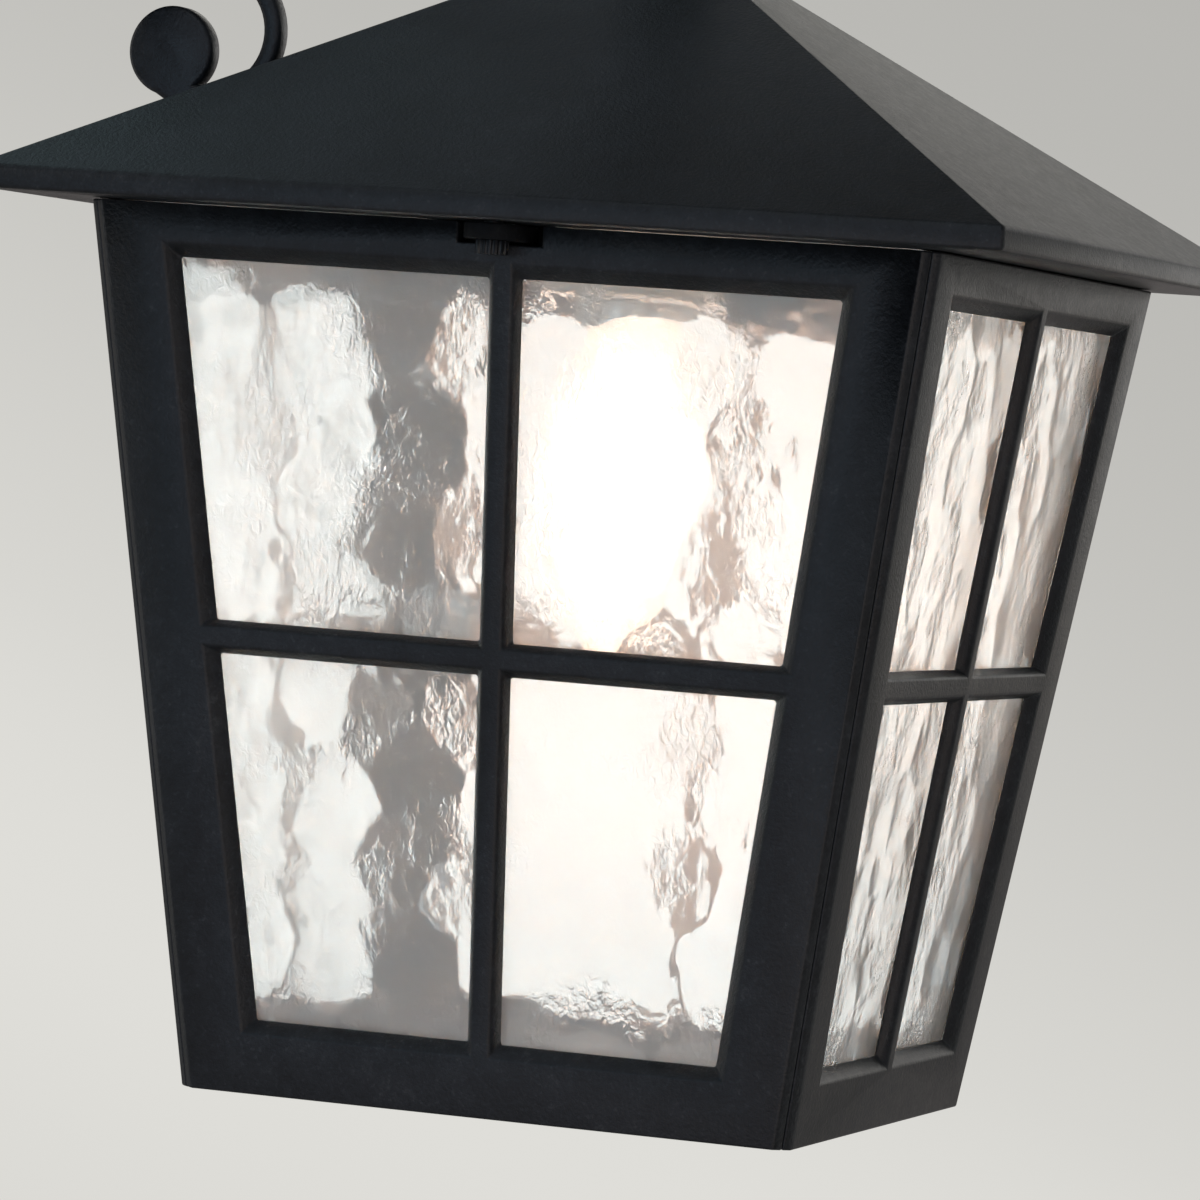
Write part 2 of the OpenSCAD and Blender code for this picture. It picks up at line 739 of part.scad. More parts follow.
// Clips that hold the glass: each lies on the inner face of a stile and laps the glass
clip_w = 12;
clip_t = 1.2;
clip_land = stile_w - glass_lap - frame_t;
function clip_heights() = [glass_top_z - 22, bar_z, glass_foot_z + 18];
clip_inset = clip_land - 2.5;
function clip_place(z) = half_at(z) - frame_t - clip_inset;

module glass_clips(side) {
    clip_l = clip_land - clip_inset + glass_lap / 2;
    color("silver") on_side(side) for (s = [-1, 1], z = clip_heights()) difference() {
        on_inner_face(s * clip_place(z), z)
            translate([s > 0 ? -clip_l : -3, hair, -clip_w / 2]) cube([clip_l + 3, clip_t, clip_w]);
        inner_hole(s * clip_place(z), z, m3_hole, over, clip_t + over);
    }
}

module clip_screws() {
    color("silver") for (side = TURN) on_side(side[0]) for (s = [-1, 1], z = clip_heights())
        inner_screw(s * clip_place(z), z, 2 * hair + clip_t, 4.8, 1.6);
}

// Angle brackets inside the corners at the top, screwed to both frames
bracket_z = -14;
bracket_l = 9.5;
bracket_h = 9;
bracket_t = 1.6;
bracket_screw = 5.7;

module corner_holes(d, depth, height) {
    for (s = [-1, 1])
        inner_hole(s * (half_at(bracket_z) - frame_t - bracket_screw), bracket_z, d, depth, height);
}

module corner_brackets() {
    corner = half_at(bracket_z) - frame_t;
    color("silver") lantern() for (a = [0 : 90 : 270]) rotate([0, 0, a]) difference() {
        intersection() {
            cage_block(bracket_z - bracket_h / 2, bracket_z + bracket_h / 2, frame_t + level(hair));
            translate([corner - bracket_l, corner - bracket_l, bracket_z - bracket_h])
                cube([2 * bracket_l, 2 * bracket_l, 2 * bracket_h]);
        }
        cage_block(bracket_z - bracket_h, bracket_z + bracket_h, frame_t + level(hair + bracket_t));
        for (side = TURN) rotate([0, 0, side[1]]) corner_holes(m3_hole, over, bracket_t + over);
    }
}

module corner_screws() {
    color("silver") for (side = TURN) on_side(side[0]) for (s = [-1, 1])
        inner_screw(s * (half_at(bracket_z) - frame_t - bracket_screw), bracket_z, 2 * hair + bracket_t, 4.6, 1.4);
}

// Base tray: a pan inside the foot of the cage, screwed to each side frame
base_screw_z = glass_foot_z - glass_lap - base_web - m3 / 2;
base_low = base_screw_z - m3_head / 2 - seat_gap - base_t;
base_screw_s = 32;
base_rim_t = 2;

module base_holes(d, depth, height) {
    for (s = [-1, 1]) inner_hole(s * base_screw_s, base_screw_z, d, depth, height);
}

module base_tray() {
    drain_place = 40;
    color("#20262a") lantern() difference() {
        cage_block(base_low, base_low + base_rim_h, frame_t + level(hair));
        cage_block(base_low + base_t, base_low + base_rim_h + over, frame_t + level(hair + base_rim_t));
        for (side = TURN) rotate([0, 0, side[1]]) base_holes(m3_hole, over, base_rim_t + over);
        for (x = [-1, 1], y = [-1, 1]) translate([x * drain_place, y * drain_place, base_low - over])
            cylinder(d = drain_d, h = base_t + 2 * over);
    }
}

module base_screws() {
    color("silver") for (side = TURN) on_side(side[0]) for (s = [-1, 1])
        inner_screw(s * base_screw_s, base_screw_z, 2 * hair + base_rim_t, m3_head, m3_head_h);
}

// Catches: a T-shaped tab inside the top rail reaches out through the slot, and a thumb screw
// goes up through its round end into the roof

module clamp_tab(side) {
    shift = side == "left" ? -catch_shift : catch_shift;
    inner = half_at(tab_top - tab_bar_h) - frame_t - seat_gap;
    color("#1d2329") on_side(side) difference() {
        union() {
            translate([shift - tab_w / 2, -catch_reach, tab_top - tab_t]) cube([tab_w, catch_reach - inner + 1, tab_t]);
            translate([shift, -catch_reach, tab_top - tab_t]) cylinder(d = tab_w, h = tab_t);
            translate([shift - tab_bar_l / 2, -inner, tab_top - tab_bar_h]) cube([tab_bar_l, tab_bar_t, tab_bar_h]);
        }
        translate([shift, -catch_reach, tab_top - tab_t - over])
            cylinder(d = thumb_d + 2 * running_gap, h = tab_t + 2 * over);
        for (s = [-1, 1]) translate([shift + s * tab_screw_s, -inner - over, tab_screw_z])
            rotate([-90, 0, 0]) cylinder(d = m3_hole, h = tab_bar_t + 2 * over);
    }
}

module tab_screws() {
    color("silver") for (side = ["left", "right"]) on_side(side) {
        shift = side == "left" ? -catch_shift : catch_shift;
        inner = half_at(tab_top - tab_bar_h) - frame_t - seat_gap;
        for (s = [-1, 1]) translate([shift + s * tab_screw_s, -inner + tab_bar_t, tab_screw_z])
            rotate([-90, 0, 0]) pan_screw(m3_shank, m3_head - 0.3, 1.6, tab_bar_t + 3);
    }
}

module thumb_screw(side) {
    shift = side == "left" ? -catch_shift : catch_shift;
    flutes = 16;
    head_top = tab_top - tab_t - 0.1;
    color("#2a2d30") on_side(side) translate([shift, -catch_reach, 0]) difference() {
        union() {
            translate([0, 0, head_top - thumb_head_h]) cylinder(d = thumb_head_d, h = thumb_head_h);
            translate([0, 0, head_top - 0.01]) cylinder(d = thumb_d, h = boss_h - 2 - head_top);
        }
        for (i = [0 : flutes - 1]) rotate([0, 0, i * 360 / flutes])
            translate([thumb_head_d / 2 + 0.2, 0, head_top - thumb_head_h - over]) cylinder(r = 0.5, h = thumb_head_h + 2 * over);
        translate([-thumb_head_d, -0.5, head_top - thumb_head_h - over]) cube([2 * thumb_head_d, 1, over + 1]);
    }
}

// Lamp

// Half width of the lamp's glass along its length, from the cap down to the tip
function bulb_radius(t) = let(belly = 0.34, neck = 8.5, r = bulb_d / 2)
    t < belly ? neck + (r - neck) * (0.5 - 0.5 * cos(180 * t / belly))
              : r * pow(cos(90 * pow((t - belly) / (1 - belly), 1.25)), 0.62);

module lamp_glass() {
    steps = 22;
    top = lamp_top_h - cap_l;
    color("lightyellow") lantern() rotate_extrude()
        polygon(concat([[0, top]], [for (i = [0 : steps - 1]) [bulb_radius(i / steps), top - bulb_l * i / steps]],
            [[0, top - bulb_l]]));
}

module lamp_cap() {
    rib_pitch = 3.6;
    color("silver") lantern() {
        difference() {
            translate([0, 0, lamp_top_h - cap_l]) cylinder(d = cap_d, h = cap_l - 5);
            for (i = [0 : 3]) translate([0, 0, lamp_top_h - 7.5 - i * rib_pitch])
                rotate_extrude() translate([cap_d / 2, 0]) circle(r = 0.7, $fn = 24);
        }
        translate([0, 0, lamp_top_h - 5.01]) cylinder(d1 = cap_d - 3, d2 = 16, h = 4.01);
    }
}

module lamp_contact() {
    color("dimgray") lantern() {
        translate([0, 0, lamp_top_h - 1]) cylinder(d = 13, h = 1.01);
        translate([0, 0, lamp_top_h]) cylinder(d = 8, h = 1.4);
    }
}

wall_gasket();
back_plate();
terminal_block();
terminal_screws();
earth_screw();
arm_tube();
arm_ferrule();
arm_lock_nut();
arm_wiring();
scroll_bar();
scroll_screws();
roof();
roof_collar();
roof_seal();
hanger_tube();
roof_lock_nut();
holder_cap();
holder_body();
holder_sleeve();
holder_contact();
side_frame("left");  // side_frame_left
side_frame("front");  // side_frame_front
side_frame("right");  // side_frame_right
side_frame("back");  // side_frame_back
glass("left");  // glass_left
glass("front");  // glass_front
glass("right");  // glass_right
glass("back");  // glass_back
glass_clips("left");  // glass_clips_left
glass_clips("front");  // glass_clips_front
glass_clips("right");  // glass_clips_right
glass_clips("back");  // glass_clips_back
clip_screws();
corner_brackets();
corner_screws();
base_tray();
base_screws();
clamp_tab("left");  // clamp_tab_left
clamp_tab("right");  // clamp_tab_right
tab_screws();
thumb_screw("left");  // thumb_screw_left
thumb_screw("right");  // thumb_screw_right
lamp_cap();
lamp_contact();
lamp_glass();
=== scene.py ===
"""Looks of a square tapered wall lantern with rippled glass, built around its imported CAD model.

The lantern hangs from an arm on the wall plane y = 0 and stands out along -Y. The photograph looks at its
left side, so the camera stands at -X. Everything is in metres.
"""
import math

import bmesh
import bpy
import numpy as np
from mathutils import Matrix, Vector, noise


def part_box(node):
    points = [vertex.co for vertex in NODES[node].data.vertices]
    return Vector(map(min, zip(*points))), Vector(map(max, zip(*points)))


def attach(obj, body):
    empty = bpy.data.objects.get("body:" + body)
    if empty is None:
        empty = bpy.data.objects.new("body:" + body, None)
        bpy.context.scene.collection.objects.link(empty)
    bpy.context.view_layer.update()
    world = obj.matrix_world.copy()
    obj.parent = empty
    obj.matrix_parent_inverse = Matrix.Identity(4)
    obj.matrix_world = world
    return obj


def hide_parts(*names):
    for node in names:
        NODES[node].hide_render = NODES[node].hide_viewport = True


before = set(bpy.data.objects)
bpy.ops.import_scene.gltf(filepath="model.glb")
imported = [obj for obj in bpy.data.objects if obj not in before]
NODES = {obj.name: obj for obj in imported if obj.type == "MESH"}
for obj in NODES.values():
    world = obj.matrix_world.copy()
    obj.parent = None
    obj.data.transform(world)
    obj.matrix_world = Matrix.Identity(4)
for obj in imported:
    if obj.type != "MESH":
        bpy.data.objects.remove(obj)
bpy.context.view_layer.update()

# The lantern's own axis, and the point on it that the lights face
AXIS = Vector((0.0, -0.145, 0.0))
LIT_POINT = AXIS + Vector((0, 0, -0.15))

# The camera. The focal length is in pixels of a frame FRAME_PX wide
CAMERA_PLACE = Vector((-1.4573, -0.6191, -0.1453))
CAMERA_TARGET = Vector((0.0, -0.1400, -0.1808))
CAMERA_ROLL = math.radians(4.217)
CAMERA_SHIFT = (0.0040, -0.0003)
FOCAL_PX = 6765.0
FRAME_PX = 1200.0
SENSOR_MM = 36.0

# The black coat's colours, from its dark hollows to its pale flecks
COAT_SHADES = [
    (0.38, (0.0035, 0.0048, 0.0066)),
    (0.50, (0.0085, 0.0112, 0.0152)),
    (0.58, (0.0150, 0.0185, 0.0245)),
    (0.68, (0.0340, 0.0380, 0.0450)),
]

# The lamp's glow from neck to tip, its strength in the frosted glass and in the core, the core's half sizes as
# shares of the glass's size, and the light that the lamp throws
LAMP_GLOW = [
    (0.0, (1.0, 0.64, 0.43)),
    (0.16, (1.0, 0.73, 0.55)),
    (0.45, (1.0, 0.80, 0.66)),
    (0.8, (1.0, 0.75, 0.58)),
    (1.0, (0.9, 0.58, 0.41)),
]
FROST_GLOW = 0.35
CORE_GLOW = 3.4
CORE_SHARES = (0.30, 0.30, 0.39)
LAMP_WATTS = 1.7
LAMP_COLOUR = (1.0, 0.63, 0.44)
LAMP_RADIUS = 0.015

# Each side of the cage: the way it faces, its ripples' seed and strength, and the step of its glass's mesh
PANES = {
    "left": ((-1, 0, 0), 3, 1.0, 0.0009),
    "front": ((0, -1, 0), 14, 0.6, 0.0013),
    "right": ((1, 0, 0), 25, 1.0, 0.0013),
    "back": ((0, 1, 0), 36, 0.6, 0.0013),
}
# The glass's outer face is nearly flat, and has ripples of its own
OUTER_SEED_OFFSET = 40
OUTER_STRENGTH = 0.15
# How much narrower the ripples' pattern is at the sheet's foot than at its top
SHEET_TAPER = 0.25

# The ripples' cells: their pitch across and down, how far they stray from their places as shares of the pitch,
# how sharply they curve, how softly two of them meet, and the hollow at which the fine waves are strongest
CELL_PITCH = (0.0185, 0.0195)
CELL_STRAY = (0.30, 0.28)
CELL_COLUMNS = (-6, 7)
CELL_ROWS = (-2, 13)
CELL_CURVE = (4.5, 10.5)
CELL_BLEND = 0.00004
CELL_DEPTH = 0.00035
# The waves' heights. The fine ones gain FINE_GAIN where the glass is hollow
SLOW_WAVE = 0.00020
SHORT_WAVE = 0.00005
FINE_WAVE = 0.00001
FINE_GAIN = 0.0001
# What the ripples take off everywhere, and the most that they may take off
LEAST_HOLLOW = 0.00015
MOST_HOLLOW = 0.0009

# The backdrop's greys from the upper right of the camera's view to its foot, and their tint
BACKDROP_GREYS = [(0.08, 183), (0.36, 193.5), (0.64, 218), (0.79, 225), (0.92, 219)]
BACKDROP_TINT = (1.0, 0.988, 0.94)
BACKDROP_SPAN_PX = 2000.0
BACKDROP_MIDDLE = 0.501
# The share of the backdrop that the coat mirrors, from behind the camera to straight ahead of it
STUDIO_SHARES = [
    (0.0, (0.68, 0.67, 0.80)),
    (0.30, (0.10, 0.11, 0.13)),
    (0.62, (1.32, 1.33, 1.38)),
    (0.86, (0.11, 0.11, 0.10)),
    (0.97, (0.76, 0.71, 0.72)),
]
OVERHEAD_SHARE = 0.18
PLAIN_LIGHT = (0.21, 0.21, 0.20, 1.0)
BEHIND_GLASS = (1.31, 1.55, 1.59, 1.0)

# Each softbox: place, size, watts and colour
SOFTBOXES = {
    "left": ((0.25, 0.75, 0.9), (0.7, 0.7), 1.6, (0.64, 0.93, 1.0)),
    "high": ((-0.9, 0.1, 1.0), (0.6, 0.6), 1.1, (0.95, 0.97, 1.0)),
    "over": ((0.55, 0.2, 0.95), (0.5, 0.5), 0.28, (0.75, 0.85, 1.0)),
    "eave": ((-0.6, -0.145, 0.35), (0.4, 0.4), 0.12, (0.5, 0.75, 1.0)),
    "low": ((-1.2, -0.9, -0.5), (0.9, 0.9), 2.0, (1.0, 0.8, 0.6)),
    "under": ((-0.9, 0.1, -0.9), (0.7, 0.7), 0.5, (0.9, 0.85, 1.0)),
    "front": ((-1.18, 0.23, -0.12), (0.7, 0.3), 0.75, (0.4, 0.75, 1.0)),
    "right": ((1.14, -0.5, 0.05), (0.8, 0.4), 0.95, (1.0, 1.0, 0.98)),
    "slope": ((1.2, 0.05, 0.45), (0.5, 0.5), 0.85, (1.0, 1.0, 0.93)),
    "foot": ((0.6, -1.0, -0.8), (0.6, 0.6), 0.22, (1.0, 0.98, 0.95)),
    "near": ((0.55, -0.42, -0.17), (0.3, 0.2), 0.06, (1.0, 0.92, 0.8)),
}

# The floor is a disc with as many corners as FLOOR_STEPS, clear from the second of FLOOR_FADE on
FLOOR_RADIUS = 1.5
FLOOR_HEIGHT = -1.7
FLOOR_STEPS = 96
FLOOR_FADE = (0.5, 1.4)

# The width of each node's rounded edges. Those in OPEN_EDGES keep it where edges crowd
EDGE_WIDTHS = {
    "side_frame_left": 0.00055,
    "side_frame_front": 0.00055,
    "side_frame_right": 0.00055,
    "side_frame_back": 0.00055,
    "roof": 0.0009,
    "roof_collar": 0.0005,
    "back_plate": 0.0012,
    "scroll_bar": 0.0011,
    "arm_ferrule": 0.0007,
    "arm_tube": 0.0003,
    "hanger_tube": 0.0002,
    "lamp_glass": 0.0002,
    "lamp_cap": 0.0002,
    "holder_sleeve": 0.0002,
    "clamp_tab_left": 0.0004,
    "clamp_tab_right": 0.0004,
    "thumb_screw_left": 0.00025,
    "thumb_screw_right": 0.00025,
    "holder_body": 0.0006,
    "holder_cap": 0.0005,
    "terminal_block": 0.0004,
}
OPEN_EDGES = (
    "side_frame_left side_frame_front side_frame_right side_frame_back roof scroll_bar clamp_tab_left "
    "clamp_tab_right"
).split()
WELD_DISTANCE = 0.00001
EDGE_ANGLE = math.radians(28.0)

forward = (CAMERA_TARGET - CAMERA_PLACE).normalized()
level_right = forward.cross(Vector((0, 0, 1))).normalized()
level_up = level_right.cross(forward)
right = level_right * math.cos(CAMERA_ROLL) + level_up * math.sin(CAMERA_ROLL)
up = level_up * math.cos(CAMERA_ROLL) - level_right * math.sin(CAMERA_ROLL)


def add_object(name, data):
    obj = bpy.data.objects.new(name, data)
    bpy.context.scene.collection.objects.link(obj)
    return obj


def make_camera():
    data = bpy.data.cameras.new("camera")
    data.sensor_width = SENSOR_MM
    data.lens = SENSOR_MM * FOCAL_PX / FRAME_PX
    data.shift_x, data.shift_y = CAMERA_SHIFT
    data.clip_start = 0.05
    data.clip_end = 50.0
    cam = add_object("camera", data)
    m = Matrix((right, up, -forward)).transposed().to_4x4()
    m.translation = CAMERA_PLACE
    cam.matrix_world = m
    bpy.context.scene.camera = cam


def linear(grey, tint):
    """Linear colour of an 8 bit grey, times a tint."""
    v = grey / 255.0
    v = v / 12.92 if v <= 0.04045 else ((v + 0.055) / 1.055) ** 2.4
    return (v * tint[0], v * tint[1], v * tint[2], 1.0)


class Nodes:
    """A material or world tree, with one short call for each node and link."""

    def __init__(self, owner):
        owner.use_nodes = True
        self.tree = owner.node_tree
        self.tree.nodes.clear()

    def fill(self, socket, value):
        if isinstance(value, bpy.types.NodeSocket):
            self.tree.links.new(value, socket)
        else:
            socket.default_value = value

    def add(self, kind, inputs=None, **settings):
        node = self.tree.nodes.new(kind)
        for key, value in settings.items():
            setattr(node, key, value)
        for key, value in (inputs or {}).items():
            self.fill(node.inputs[key], value)
        return node

    def ramp(self, fac, stops, interpolation="LINEAR"):
        node = self.add("ShaderNodeValToRGB", {"Fac": fac})
        ramp = node.color_ramp
        ramp.interpolation = interpolation
        while len(ramp.elements) < len(stops):
            ramp.elements.new(0.5)
        for element, (place, colour) in zip(ramp.elements, stops):
            element.position = place
            element.color = colour if len(colour) == 4 else (*colour, 1.0)
        return node.outputs["Color"]

    def noise(self, coords, scale, detail=4.0, roughness=0.5, distortion=0.0):
        inputs = {
            "Vector": coords,
            "Scale": scale,
            "Detail": detail,
            "Roughness": roughness,
            "Distortion": distortion,
        }
        return self.add("ShaderNodeTexNoise", inputs).outputs["Fac"]

    def math(self, operation, a, b=0.0, c=0.0):
        node = self.add("ShaderNodeMath", operation=operation)
        for socket, value in zip(node.inputs, (a, b, c)):
            self.fill(socket, value)
        return node.outputs["Value"]

    def spread(self, value, low, high, to_low, to_high):
        inputs = {"Value": value, "From Min": low, "From Max": high, "To Min": to_low, "To Max": to_high}
        return self.add("ShaderNodeMapRange", inputs).outputs["Result"]

    def bump(self, height, distance, strength=1.0, normal=None):
        inputs = {"Height": height, "Distance": distance, "Strength": strength}
        if normal is not None:
            inputs["Normal"] = normal
        return self.add("ShaderNodeBump", inputs).outputs["Normal"]

    def vector_math(self, operation, a, b):
        return self.add("ShaderNodeVectorMath", {0: a, 1: b}, operation=operation).outputs

    def tinted(self, colour, tint):
        node = self.add("ShaderNodeMix", {0: 1.0, 6: colour, 7: tint}, data_type="RGBA", blend_type="MULTIPLY")
        return node.outputs[2]


def new_material(name):
    mat = bpy.data.materials.new(name)
    t = Nodes(mat)
    coords = t.add("ShaderNodeTexCoord").outputs["Object"]
    return mat, t, coords


def close_material(t, inputs):
    shader = t.add("ShaderNodeBsdfPrincipled", inputs)
    t.add("ShaderNodeOutputMaterial", {"Surface": shader.outputs["BSDF"]})


def black_coat(name, tone=1.0, gloss=0.46, grain=1.0, specular=0.5):
    """Fine textured black powder coat: bluish black, mottled and with a sandy grain."""
    mat, t, coords = new_material(name)
    clouds = t.noise(coords, 30.0, roughness=0.6)
    mottle = t.noise(coords, 260.0, roughness=0.65)
    grains = t.noise(coords, 1150.0, detail=3.0, roughness=0.62)
    flecks = t.spread(t.noise(coords, 800.0, detail=2.0), 0.58, 0.72, 0.0, 0.10 * grain)
    shade = t.math("MULTIPLY_ADD", mottle, 0.4, t.math("MULTIPLY", grains, 0.2))
    shade = t.math("MULTIPLY_ADD", clouds, 0.4, shade)
    colour = t.ramp(
        t.math("ADD", shade, flecks), [(place, tuple(c * tone for c in rgb)) for place, rgb in COAT_SHADES]
    )
    rough = t.spread(t.math("ADD", mottle, grains), 0.8, 1.2, gloss - 0.03, gloss + 0.05)
    normal = t.bump(grains, 0.00028 * grain, 0.7)
    normal = t.bump(mottle, 0.00012 * grain, 0.3, normal)
    inputs = {"Base Color": colour, "Roughness": rough, "Specular IOR Level": specular, "Normal": normal}
    close_material(t, inputs)
    return mat


def water_glass():
    """Clear glass. The ripples are in its mesh, and the streaks and the crackle in patches are here."""
    mat, t, coords = new_material("water_glass")
    stretched = t.add("ShaderNodeMapping", {"Vector": coords, "Scale": (1.0, 1.0, 0.7)}).outputs["Vector"]
    streaks = t.noise(stretched, 300.0, detail=3.0, roughness=0.6, distortion=0.8)
    crackle = t.noise(stretched, 560.0, detail=2.0, roughness=0.55, distortion=0.7)
    patches = t.spread(t.noise(coords, 62.0, detail=2.0, roughness=0.6), 0.49, 0.62, 0.03, 1.0)
    normal = t.bump(streaks, 0.00008, 0.5)
    normal = t.bump(t.math("MULTIPLY", crackle, patches), 0.00019, 1.0, normal)
    inputs = {
        "Base Color": (0.98, 0.945, 0.925, 1.0),
        "Roughness": t.spread(streaks, 0.35, 0.7, 0.0, 0.03),
        "IOR": 1.5,
        "Transmission Weight": 0.82,
        "Subsurface Weight": 1.0,
        "Subsurface Radius": (1.0, 0.95, 0.9),
        "Subsurface Scale": 0.004,
        "Normal": normal,
    }
    close_material(t, inputs)
    return mat


def metal(name, colour, rough, stain=(0.6, 0.6, 0.6)):
    """Plain or plated metal with faint stains and a fine grain."""
    mat, t, coords = new_material(name)
    clouds = t.noise(coords, 160.0, detail=5.0, roughness=0.6)
    fine = t.noise(coords, 900.0, detail=3.0)
    dark = tuple(c * s for c, s in zip(colour, stain))
    tint = t.ramp(clouds, [(0.3, dark), (0.6, colour)])
    level = t.spread(clouds, 0.3, 0.7, rough + 0.12, rough - 0.05)
    normal = t.bump(fine, 0.00003, 0.4)
    close_material(t, {"Base Color": tint, "Metallic": 1.0, "Roughness": level, "Normal": normal})
    return mat


def moulded(name, colour, rough, depth=0.00004, coat=0.0):
    """Moulded plastic, rubber or porcelain with a soft mottle."""
    mat, t, coords = new_material(name)
    clouds = t.noise(coords, 90.0, roughness=0.55)
    fine = t.noise(coords, 700.0, detail=3.0, roughness=0.55)
    inputs = {
        "Base Color": t.ramp(clouds, [(0.3, tuple(c * 0.82 for c in colour)), (0.65, colour)]),
        "Roughness": t.spread(fine, 0.3, 0.7, rough - 0.05, rough + 0.07),
        "Normal": t.bump(fine, depth, 0.5),
        "Coat Weight": coat,
        "Coat Roughness": 0.1,
    }
    close_material(t, inputs)
    return mat


def glow_material(name, strength, inputs):
    """Warm light that is palest in the middle of the lamp's glass and warmer to its neck and tip."""
    mat, t, coords = new_material(name)
    height = t.add("ShaderNodeSeparateXYZ", {"Vector": coords}).outputs["Z"]
    lo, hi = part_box("lamp_glass")
    place = t.spread(height, lo.z, hi.z, 0.0, 1.0)
    frost = t.noise(coords, 700.0, detail=3.0)
    glow = {
        "Roughness": t.spread(frost, 0.3, 0.7, 0.54, 0.68),
        "Normal": t.bump(frost, 0.00004, 0.4),
        "Emission Color": t.ramp(place, LAMP_GLOW, "EASE"),
        "Emission Strength": strength,
    }
    close_material(t, {**inputs, **glow})
    return mat


def make_lamp_core():
    """The bright core that shines through the lamp's frosted glass, with the light that it throws."""
    lo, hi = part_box("lamp_glass")
    size = hi - lo
    mesh = bpy.data.meshes.new("lamp_core")
    ball = bmesh.new()
    bmesh.ops.create_uvsphere(ball, u_segments=32, v_segments=24, radius=1.0)
    bmesh.ops.scale(ball, vec=tuple(share * s for share, s in zip(CORE_SHARES, size)), verts=ball.verts)
    bmesh.ops.translate(ball, vec=(lo + hi) / 2, verts=ball.verts)
    ball.to_mesh(mesh)
    ball.free()
    mesh.shade_smooth()
    mesh.materials.append(glow_material("lamp_core", CORE_GLOW, {"Base Color": (0.9, 0.8, 0.7, 1.0)}))
    core = add_object("lamp_core", mesh)
    core.visible_shadow = NODES["lamp_glass"].visible_shadow = False
    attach(core, "lamp")

    data = bpy.data.lights.new("lamp_light", "POINT")
    data.energy = LAMP_WATTS
    data.shadow_soft_size = LAMP_RADIUS
    data.color = LAMP_COLOUR
    light = add_object("lamp_light", data)
    light.location = (lo + hi) / 2
    light.visible_camera = light.visible_glossy = light.visible_transmission = False


def dress_nodes():
    frosted = {"Base Color": (1.0, 0.96, 0.92, 1.0), "IOR": 1.2, "Transmission Weight": 1.0}
    coat = black_coat("black_coat")
    coat_steel = black_coat("black_coat_steel", gloss=0.40, grain=0.7)
    thumb = black_coat("black_oxide", tone=0.7, gloss=0.34, grain=0.4, specular=0.4)
    # Painted shade: the clamp tabs get a darker, rougher and less shiny copy of the black coat, which paints in
    # the shade that falls on them under the eave
    shaded_tab_coat = black_coat("black_coat_painted_shade", tone=0.4, gloss=0.7, grain=0.5, specular=0.2)
    plated = metal("plated_steel", (0.62, 0.63, 0.64), 0.34)
    brass = metal("brass", (0.72, 0.50, 0.22), 0.32, stain=(0.6, 0.5, 0.4))
    bright = metal("lamp_metal", (0.78, 0.78, 0.77), 0.24)
    rubber = moulded("rubber", (0.018, 0.018, 0.019), 0.75, depth=0.0001)
    sheath = moulded("cable_sheath", (0.03, 0.03, 0.032), 0.5)
    porcelain = moulded("holder_porcelain", (0.66, 0.62, 0.55), 0.28, depth=0.00003, coat=0.4)
    block = moulded("terminal_plastic", (0.74, 0.73, 0.68), 0.45)
    insulator = moulded("lamp_insulator", (0.02, 0.017, 0.02), 0.2)
    by_node = {
        "wall_gasket": rubber,
        "roof_seal": rubber,
        "terminal_block": block,
        "earth_screw": brass,
        "arm_tube": coat_steel,
        "scroll_bar": coat_steel,
        "arm_wiring": sheath,
        "hanger_tube": brass,
        "holder_cap": porcelain,
        "holder_body": porcelain,
        "holder_sleeve": brass,
        "holder_contact": brass,
        "lamp_cap": bright,
        "lamp_contact": insulator,
        "lamp_glass": glow_material("lit_lamp_glass", FROST_GLOW, frosted),
        "clamp_tab_left": shaded_tab_coat,
        "clamp_tab_right": shaded_tab_coat,
        "thumb_screw_left": thumb,
        "thumb_screw_right": thumb,
    }
    plain_steel = (
        "terminal_screws arm_lock_nut scroll_screws roof_lock_nut clip_screws corner_brackets corner_screws "
        "base_screws tab_screws glass_clips_left glass_clips_front glass_clips_right glass_clips_back"
    ).split()
    for name, node in NODES.items():
        material = plated if name in plain_steel else by_node.get(name, coat)
        node.data.materials.clear()
        node.data.materials.append(material)


def soften(name, width, clamp):
    """Rounds a CAD node's edges as casting and paint do, and shades its curved faces as smooth ones."""
    node = NODES[name]
    weld = node.modifiers.new("weld", "WELD")
    weld.merge_threshold = WELD_DISTANCE
    bevel = node.modifiers.new("bevel", "BEVEL")
    bevel.width = width
    bevel.segments = 2
    bevel.limit_method = "ANGLE"
    bevel.angle_limit = EDGE_ANGLE
    bevel.use_clamp_overlap = clamp
    bevel.harden_normals = not clamp
    if clamp:
        even = node.modifiers.new("flat faces stay flat", "WEIGHTED_NORMAL")
        even.mode = "FACE_AREA"
        even.weight = 100
    node.data.shade_smooth()


def sheet_corners(name, out):
    """The four corners of a CAD sheet of glass on its outer face and on its inner face, top left first, seen
    from outside."""
    across = Vector((0, 0, 1)).cross(out)
    points = [v.co.copy() for v in NODES[name].data.vertices]
    middle_z = sum(p.z for p in points) / len(points)

    def corner(side, top, outer):
        same = [p for p in points if (p.z > middle_z) == top and ((p - AXIS).dot(across) > 0) == (side > 0)]
        same.sort(key=lambda p: p.dot(out))
        return same[-1] if outer else same[0]

    order = [(-1, True), (1, True), (1, False), (-1, False)]
    return [corner(s, t, True) for s, t in order], [corner(s, t, False) for s, t in order]


